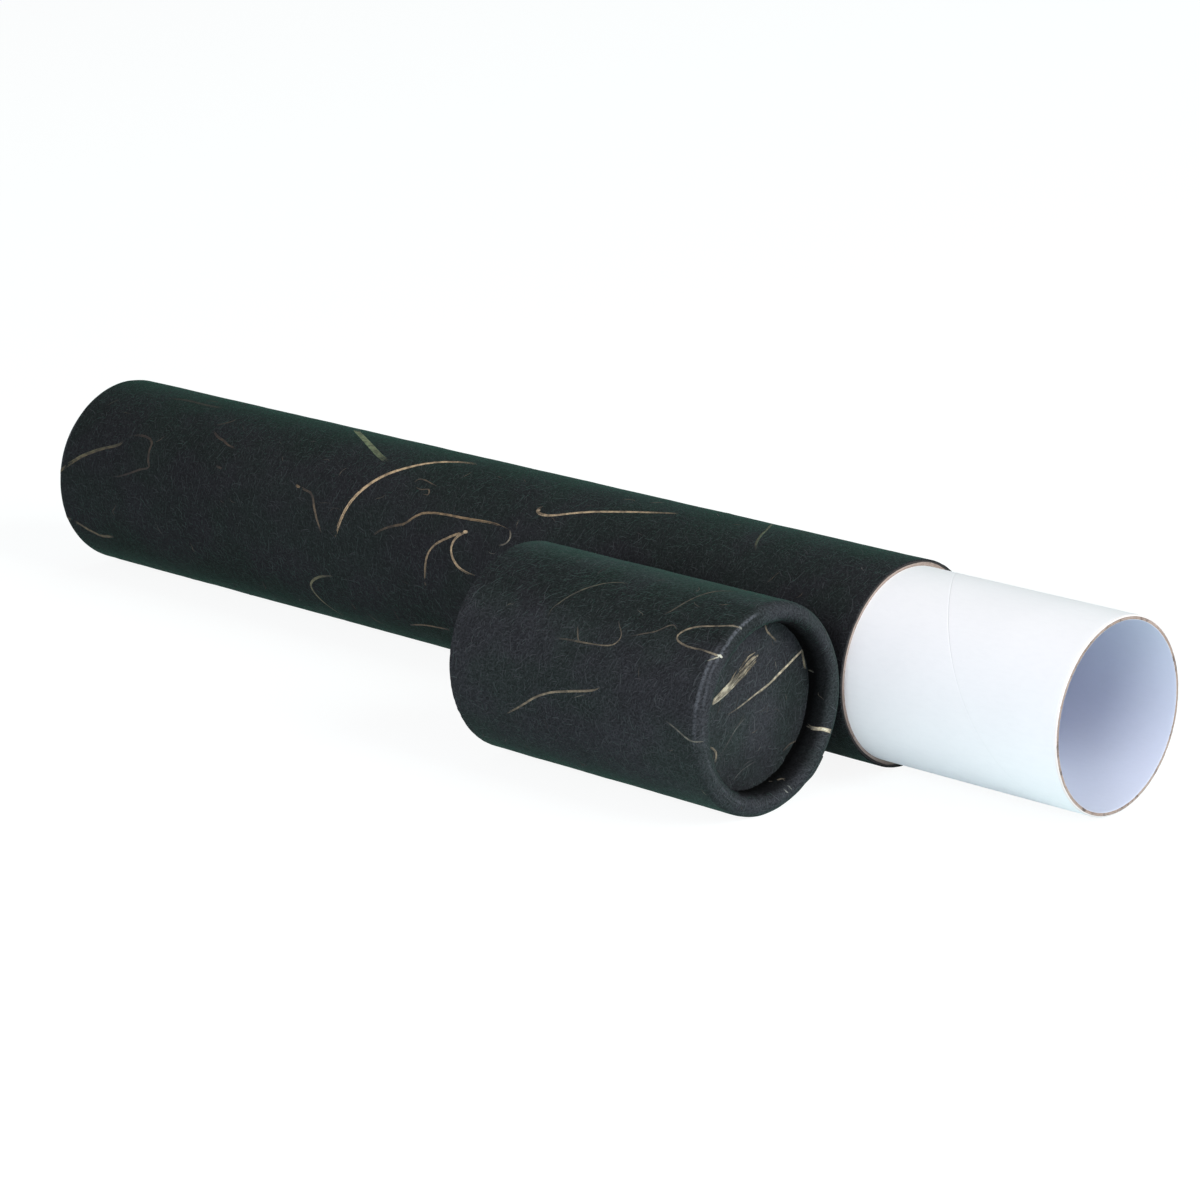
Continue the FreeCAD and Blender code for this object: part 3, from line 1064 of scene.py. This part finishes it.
# Strands on the side seen best: width in mm, tone, how far each shows from start to end, and
# its route as (mm from the open end, degrees round from the top towards -Y).
TUBE_STRANDS = (
    (1.4, 0.6, (0.3, 0.45, 0.7, 0.85, 0.95, 1.0, 1.0, 0.95, 0.8, 0.6, 0.3),
     ((217.2, 90), (216.4, 80), (215.4, 69), (213.8, 57), (210.4, 45), (206, 34), (200.6, 25),
      (194.5, 15.5), (188, 8.5), (181, 4.5), (172, 2.6))),
    (2.35, 0.03, (0.8, 1.0, 1.0, 0.95, 0.65, 0.2),
     ((243, -9), (240.4, -4.5), (234.8, 1.8), (227.2, 9.5), (220, 16.2), (214, 21), (208.5, 24))),
    (0.8, 0.52, (0.3, 0.14, 0.07, 0.1, 0.2, 0.24, 0.2, 0.1),
     ((241, 54), (235.8, 55.9), (232.4, 57), (230.4, 60), (228.6, 65), (226.6, 70), (224.4, 75),
      (222.4, 81))),
    (0.85, 0.38, (0.03, 0.08, 0.12, 0.16, 0.2, 0.28, 0.56, 0.7, 0.68, 0.64, 0.64, 0.64, 0.56, 0.4, 0.2),
     ((203.6, 83), (201.2, 76.2), (198.4, 71), (195.2, 67), (191.2, 63.8), (187.2, 61.5),
      (184.6, 57), (181.6, 53), (176.8, 51), (170.8, 50), (163.6, 49.6), (156.4, 48.8),
      (150.4, 48.3), (144.6, 49.4), (140.2, 50.8))),
    (0.6, 0.9, (0.06, 0.18, 0.3, 0.22, 0.05),
     ((143.4, 49.5), (141.6, 52.8), (141.4, 56), (142.6, 59), (146, 61.5))),
    (0.85, 0.56, (0.82, 0.76, 0.6, 0.5, 0.5, 0.42, 0.35, 0.22),
     ((158.6, 56.4), (162.9, 59.3), (166.8, 63.2), (170.8, 67.8), (173.2, 73.2), (174, 79.5),
      (174, 87.5), (173.2, 103))),
    (0.95, 0.62, (0.86, 0.78, 0.8, 0.8, 0.72, 0.62, 0.35),
     ((158.8, 56), (162.4, 60.2), (164, 65), (163.8, 70), (161.6, 75.2), (157.4, 79.2), (148, 82))),
    (1.05, 0.62, (0.1, 0.2, 0.4, 0.55, 0.62, 0.7, 0.72, 0.68, 0.62, 0.5, 0.2),
     ((133.3, 26.6), (136.4, 29.6), (137.4, 33), (135.4, 35.4), (131.5, 35.2), (126, 31.4),
      (118, 25.5), (108, 19.8), (99, 14.5), (89.5, 8.7), (80, 3.4))),
    (0.8, 0.08, (0.05, 0.2, 0.3, 0.5, 0.6, 0.55, 0.5, 0.4, 0.25),
     ((213.6, 102), (218.8, 103.8), (223.6, 105.8), (228, 109.5), (230.8, 114.5), (230.8, 120.2),
      (229.2, 127.5), (225.4, 137), (220, 147))),
    (0.7, 0.42, (0.05, 0.25, 0.22, 0.05), ((190, 129), (181, 124), (173, 122.3), (166, 121.5))),
    (0.4, 0.5, (0.05, 0.16, 0.18, 0.16, 0.05),
     ((192.4, 35.5), (191.6, 31.5), (188.8, 31), (185.6, 32.3), (182, 33.8))),
    (0.4, 0.55, (0.08, 0.18, 0.2, 0.2, 0.1),
     ((190.8, 37.5), (187.6, 38.3), (184.6, 37.2), (183.4, 40.6), (186.2, 41))),
    (1.3, 0.16, (0.4, 0.5, 0.5, 0.45, 0.4, 0.33, 0.24, 0.18, 0.08),
     ((357, 83), (350, 74.4), (346, 69.5), (342.4, 66.2), (338.4, 62.8), (334.4, 60), (329.8, 56.9),
      (328.2, 54), (328.8, 50.6))),
    (1.25, 0.16, (0.36, 0.5, 0.5, 0.42, 0.24),
     ((351.6, 76.4), (354.6, 80.2), (357.6, 84), (360.4, 87.6), (363, 91))),
    (1.1, 0.17, (0.25, 0.4, 0.4, 0.25), ((351.8, 114), (355, 112.4), (358, 111), (360.6, 109.8))),
    (1.2, 0.18, (0.25, 0.4, 0.46, 0.46, 0.4, 0.36, 0.15),
     ((354.5, 112.5), (349.2, 115.2), (346.4, 117.2), (342.8, 119.4), (339.2, 120.8),
      (334.4, 119.5), (330.4, 117.4))),
    (0.9, 0.24, (0.05, 0.08, 0.1, 0.11, 0.14, 0.14, 0.12, 0.14, 0.11, 0.08, 0.07, 0.03),
     ((328, 50.2), (324.8, 48), (320.4, 46.8), (316.4, 47.5), (314, 50.2), (313.6, 55.5),
      (312.4, 61.5), (311, 65.6), (315.2, 68.2), (320.8, 72.8), (326, 76), (330.5, 77.5))),
    (0.8, 0.3, (0.03, 0.09, 0.14, 0.16, 0.06),
     ((293, 30), (287.2, 35.2), (283.2, 37), (279.6, 39.5), (273.8, 40.4))),
    (0.7, 0.1, (0.03, 0.12, 0.12, 0.03), ((292.6, 27), (290, 23.8), (288, 20), (287.4, 15.8))),
    (1.4, 0.06, (0.03, 0.08, 0.11, 0.11, 0.1, 0.04),
     ((326.8, 12.4), (320.8, 9.5), (314.8, 8.8), (308, 9.2), (302.8, 8.5), (299, 7.3))),
    (0.8, 0.3, (0.05, 0.1, 0.05), ((280, 54.5), (278.2, 55), (276.4, 55.3))),
    (0.8, 0.05, (0.45, 0.45, 0.35, 0.1),
     ((63, -20), (58, -6), (54.8, 4.5), (53.2, 13), (51.2, 20.5), (48.2, 27))),
)
CAP_STRANDS = (
    (0.5, 0.14, (0.1, 0.3, 0.35, 0.35, 0.35, 0.3, 0.3, 0.15),
     ((34, 54), (33.6, 46), (35.2, 40.2), (38, 32.2), (41.2, 25.5), (44.8, 20.2), (49.2, 16.8),
      (54.4, 17))),
    (0.5, 0.4, (0.22, 0.33, 0.4, 0.56, 0.64, 0.32, 0.2, 0.08),
     ((34.4, 61.6), (44, 59.5), (52.8, 58.5), (59.2, 57.4), (62.4, 54.8), (63.2, 50.2), (61, 45.5),
      (56, 37))),
    (0.4, 0.4, (0.05, 0.22, 0.25), ((46, 50.6), (47.4, 55.2), (48.9, 58.9))),
    (0.62, 0.44, (0.26, 0.4, 0.52, 0.56, 0.58, 0.52, 0.44, 0.28, 0.12),
     ((14.6, 116), (24.8, 106), (30.8, 99.5), (36, 93.5), (42.4, 88.5), (49.6, 85.5), (56.8, 82.5),
      (60.8, 79.5), (64.4, 73))),
    (0.5, 0.12, (0.04, 0.25, 0.32, 0.32, 0.3, 0.25, 0.08),
     ((71, 34), (74, 29.2), (75.6, 21.2), (76.8, 13.8), (78.4, 5), (80.8, -2.2), (86, -10))),
    (0.4, 0.45, (0.02, 0.15, 0.22, 0.25, 0.1),
     ((65, 50), (69.6, 46.8), (74, 43), (78.4, 37), (81.6, 40.2))),
    (0.62, 0.52, (0.33, 0.3, 0.33, 0.4, 0.46, 0.54, 0.62, 0.66, 0.62, 0.48, 0.38, 0.33, 0.33, 0.28),
     ((99, 27), (98, 27.7), (96.6, 28.6), (94, 30), (91.2, 31.5), (88.4, 33), (85.6, 35.4),
      (83.4, 38.6), (82.3, 42.5), (84, 45.4), (88.5, 46.9), (93, 46.6), (97, 46.9), (99, 46.8))),
    (0.62, 0.56, (0.36, 0.4, 0.4, 0.34), ((94.2, 29.9), (96.4, 28.7), (98.2, 27.4), (99.9, 26))),
    (0.6, 0.54, (0.36, 0.4, 0.44, 0.42), ((93.6, 46.7), (96, 46.9), (98.2, 46.9), (100.1, 46.3))),
    (0.4, 0.9, (0.04, 0.15, 0.2, 0.1), ((86.6, 86.4), (92, 90.5), (96.4, 93.8), (102, 94.8))),
    (0.35, 0.93, (0.6, 0.45, 0.1), ((99.8, 46.4), (98.4, 49.4), (96.8, 51.6))),
    (1.5, 0.7, (0.1, 0.3, 0.5, 1.0, 1.0, 0.8, 0.3),
     ((111, -115), (108.5, -116.4), (106.5, -116.3), (104.8, -115.4), (103.2, -115), (101.4, -115),
      (99.4, -115.6))),
    (0.8, 0.15, (0.3, 0.35, 0.1), ((111.6, -77.4), (110.4, -78), (109, -78.6))),
    (0.9, 0.42, (0.08, 0.3, 0.35, 0.1),
     ((110.8, -166), (108.7, -162.5), (107.5, -159.2), (105.8, -158.8))),
    (0.5, 0.97, (0.15, 0.5, 0.15), ((104.9, -161.4), (103.6, -160.8), (101.8, -160))),
    (0.4, 0.97, (0.12, 0.4, 0.12), ((104.6, -165.8), (103.3, -164.8), (101.8, -163.3))),
)
# Knots: place on the sheet, across in mm, tone, and how far each shows.
TUBE_KNOTS = (
    ((239.2, 54.7), 1.2, 0.42, 0.48),
    ((160.3, 57.3), 1.25, 0.66, 0.9),
    ((136.9, 33.3), 1.0, 0.72, 0.55),
)
CAP_KNOTS = (
    ((99.9, 46.4), 1.1, 0.92, 0.95),
    ((99.7, 26.2), 0.8, 0.95, 0.35),
    ((104.1, -115.2), 1.2, 0.85, 0.9),
)
# On the disc's face the routes are (mm towards +Y, mm up) from its middle.
CAP_ROUND_STRANDS = (
    (0.46, 0.68, (0.08, 0.28, 0.45, 0.62, 0.75, 0.9, 0.95, 0.85),
     ((-13.5, -1), (-7.5, 0.1), (-3.5, 1.1), (1.9, 2.9), (7.4, 4.5), (12.9, 7), (17.4, 9.1),
      (22.6, 11.8))),
    (0.8, 0.7, (0.25, 0.65, 0.95, 1.0, 1.0),
     ((0.5, 2.4), (6.4, 4.2), (12.4, 6.8), (17.9, 9.5), (24, 12.6))),
    (0.6, 0.42, (0.42, 0.6, 0.55, 0.12), ((5.2, 25), (6.1, 22), (7.8, 19.8), (11.6, 16.6))),
    (0.5, 0.3, (0.05, 0.3, 0.15), ((14, -17.6), (17.4, -16), (21.2, -15.6))),
    (0.8, 0.6, (0.2, 0.38, 0.44, 0.44, 0.18),
     ((-18.8, -8.5), (-16.8, -9.4), (-15.6, -10.8), (-15.3, -12.4), (-16.4, -14.2))),
    (0.9, 0.15, (0.25, 0.8, 0.9, 0.6), ((22.2, 12.6), (22.7, 10.4), (23.3, 8), (24, 5.2))),
    (0.3, 1.0, (0.0, 0.16, 0.03), ((-9, -22), (-4, -19), (3, -17.5))),
    (0.3, 1.0, (0.0, 0.16, 0.03), ((-14, -13), (-7, -6), (-2, -3))),
)

# The splinter: a strip of bast split into many threads, ragged and gaping at its upper end. Its
# middle line and half its width at each point, in mm.
SPLINTER = ((-17.6, 4.3), (-12.8, 6.4), (-8.6, 8.7), (-4.6, 11.2), (-0.6, 13.5), (3.0, 14.9))
SPLINTER_HALVES = (0.75, 0.95, 1.35, 1.9, 1.9, 1.2)
SPLINTER_ASLANT = Vector((-0.5, 0.86))
SPLINTER_THREADS = 84
TIP_TONES = (0.6, 0.7, 0.76, 0.84)
RAGGED_TONES = (0.24, 0.44, 0.55, 0.66, 0.76)

SHORT_HAIRS = {"wide": (0.1, 0.2), "tones": (0.2, 1.0), "bends": (0.02, 0.2)}

for on, name, material, strands, knots, back, count in (
    (tube, "tube_fibres", tube_bast, TUBE_STRANDS, TUBE_KNOTS, (-118, -25), 26),
    (cap, "cap_fibres", cap_bast, CAP_STRANDS, CAP_KNOTS, (-135, -20), 9),
):
    rng = random.Random(len(name) * 7)
    bm = new_fibres()
    lay = lambda along, turn, off, on=on: roll(on, along, turn, off)
    mm_per_degree = on.radius * math.radians(1)
    for wide, tone, shown, route in strands:
        route = [Vector((along, turn * mm_per_degree)) for along, turn in route]
        bast(bm, lay, route, wide, tone, shown, rng)
    for (along, turn), size, tone, shown in knots:
        knot(bm, lay, (along, turn * mm_per_degree), size, tone, shown)
    edge = on.sheet - 1
    for turns in (back, UNDERSIDE):
        low, high = (3, turns[0] * mm_per_degree), (edge, turns[1] * mm_per_degree)
        number = round(count * (turns[1] - turns[0]) / COUNTED_OVER)
        strewn(bm, lay, rng, number, low, high, (12, 42), (0.5, 1.2), (0.3, 1.0), (0.1, 0.7))
    low, high = (2, -120 * mm_per_degree), (edge, 215 * mm_per_degree)
    strewn(bm, lay, rng, count * 5, low, high, (2, 7), shown=(0.04, 0.2), **SHORT_HAIRS)
    fibres = new_piece(bm, name, [material], math.radians(80))

for on, name, material, strands in (
    (tube, "base_round_fibres", tube_bast, ()),
    (cap, "cap_round_fibres", cap_bast, CAP_ROUND_STRANDS),
):
    rng = random.Random(len(name))
    bm = new_fibres()
    lay = lambda y, z, off, on=on: lay_on_disc(on, y, z, off)
    for wide, tone, shown, route in strands:
        bast(bm, lay, [Vector(point) for point in route], wide, tone, shown, rng)
    low, high = (-19, -19), (19, 19)
    if strands:
        for k in range(SPLINTER_THREADS):
            lane = rng.uniform(-1, 1)
            first = rng.uniform(0, 0.74) if k > 20 else 0.05 * rng.random()
            last = min(first + rng.uniform(0.2, 0.5), rng.uniform(0.88, 1.0))
            route = [
                Vector(point) + SPLINTER_ASLANT * (lane * half + rng.uniform(-0.32, 0.32))
                for point, half in zip(SPLINTER, SPLINTER_HALVES)
            ]
            most = rng.uniform(0.45, 0.9)

            def surfaced(share, most=most, k=k):
                gap = noise.noise(Vector((share * 8, k * 7.3, 0)))
                return most * (1 - 0.8 * ease(share, 0.2, 0.6) * ease(gap, 0.0, 0.25))

            tone = rng.choice(TIP_TONES if first < 0.3 else RAGGED_TONES)
            raised = rng.uniform(0, 0.2)
            lifted = lambda y, z, off, raised=raised: lay(y, z, off + raised)
            thread(bm, lifted, route, rng.uniform(0.15, 0.38), 0, (first, last), tone, surfaced, k)
    else:
        strewn(bm, lay, rng, 8, low, high, (9, 26), (0.4, 1.2), (0.3, 1.0), (0.1, 0.75))
    strewn(bm, lay, rng, 22, low, high, (2, 8), shown=(0.05, 0.22), **SHORT_HAIRS)
    fibres = new_piece(bm, name, [material], math.radians(80))
bpy.data.meshes.remove(rod_mesh)

# ---------------------------------------------------------------- floor, light and camera
# A plain white floor and backdrop. Four soft square lamps light the tube, most of it from in
# front of its open end and from the cap's side.

WHITE = (1, 1, 1, 1)
FLOOR_SHADE = (0.74, 0.87, 0.88, 1)  # what the object and its shadow see of it
ROOM_SHADE = (1.0, 0.86, 0.88, 1)
FLOOR_HALF = 6  # metres
LAMP_SIZE = 1.2  # metres
CAMERA_PLACE = (0.9102, -0.9336, 0.4013)
CAMERA_DOWN = 15.83  # degrees
CAMERA_TURN = 42.89  # degrees
FOCAL_LENGTH = 128.14  # mm, on a sensor 36 mm wide


def seen_by(tree, *rays):
    """1 to rays of the named kinds, and 0 to the others."""
    seen = add(tree, "ShaderNodeLightPath").outputs
    shown = seen[rays[0]]
    for ray in rays[1:]:
        shown = maths(tree, "MAXIMUM", shown, seen[ray])
    return shown


def mixed_out(tree, share, first, second, output):
    """Two shaders mixed by a share and joined to the tree's output."""
    sockets = {0: share, 1: first.outputs[0], 2: second.outputs[0]}
    mixed = add(tree, "ShaderNodeMixShader", sockets).outputs[0]
    add(tree, output, {"Surface": mixed})


bm = bmesh.new()
bmesh.ops.create_grid(bm, x_segments=1, y_segments=1, size=FLOOR_HALF)
mesh = bpy.data.meshes.new("floor")
bm.to_mesh(mesh)
bm.free()
floor = bpy.data.objects.new("floor", mesh)
bpy.context.scene.collection.objects.link(floor)
floor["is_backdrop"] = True

floor_white = bpy.data.materials.new("floor_white")
floor_white.use_nodes = True
tree = floor_white.node_tree
tree.nodes.clear()
matte = add(tree, "ShaderNodeBsdfDiffuse", {"Color": FLOOR_SHADE})
glow = add(tree, "ShaderNodeEmission", {"Color": WHITE, "Strength": 1.13})
shown = seen_by(tree, "Is Camera Ray", "Is Glossy Ray", "Is Transmission Ray")
mixed_out(tree, times(tree, shown, 0.8), matte, glow, "ShaderNodeOutputMaterial")
mesh.materials.append(floor_white)

world = bpy.data.worlds.new("studio")
bpy.context.scene.world = world
world.use_nodes = True
tree = world.node_tree
tree.nodes.clear()
soft = add(tree, "ShaderNodeBackground", {"Color": ROOM_SHADE, "Strength": 0.23})
clear = add(tree, "ShaderNodeBackground", {"Color": WHITE, "Strength": 1.0})
shown = seen_by(tree, "Is Camera Ray", "Is Transmission Ray")
mixed_out(tree, shown, soft, clear, "ShaderNodeOutputWorld")

for name, place, power, colour in (
    ("mouth", (1.775, 0.313, 1.262), 35.5, (0.94, 1.0, 0.93)),
    ("low", (2.036, -0.359, 0.752), 9.6, (0.88, 0.8, 1.0)),
    ("front", (0.535, -1.997, 0.752), 27, (0.94, 0.975, 1.0)),
    ("back", (0.0, 1.905, 1.1), 8, (0.5, 0.95, 1.0)),
):
    light = bpy.data.lights.new(name, "AREA")
    light.size = LAMP_SIZE
    light.energy = power
    light.color = colour
    lamp = bpy.data.objects.new(name, light)
    lamp.location = place
    lamp.rotation_euler = (-Vector(place)).to_track_quat("-Z", "Y").to_euler()
    bpy.context.scene.collection.objects.link(lamp)

lens = bpy.data.cameras.new("camera")
lens.lens = FOCAL_LENGTH
lens.sensor_width = 36
camera = bpy.data.objects.new("camera", lens)
camera.location = CAMERA_PLACE
camera.rotation_euler = (math.radians(90 - CAMERA_DOWN), 0, math.radians(CAMERA_TURN))
bpy.context.scene.collection.objects.link(camera)
bpy.context.scene.camera = camera
bpy.context.scene.view_settings.view_transform = "Standard"

# ---------------------------------------------------------------- finish
low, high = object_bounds()
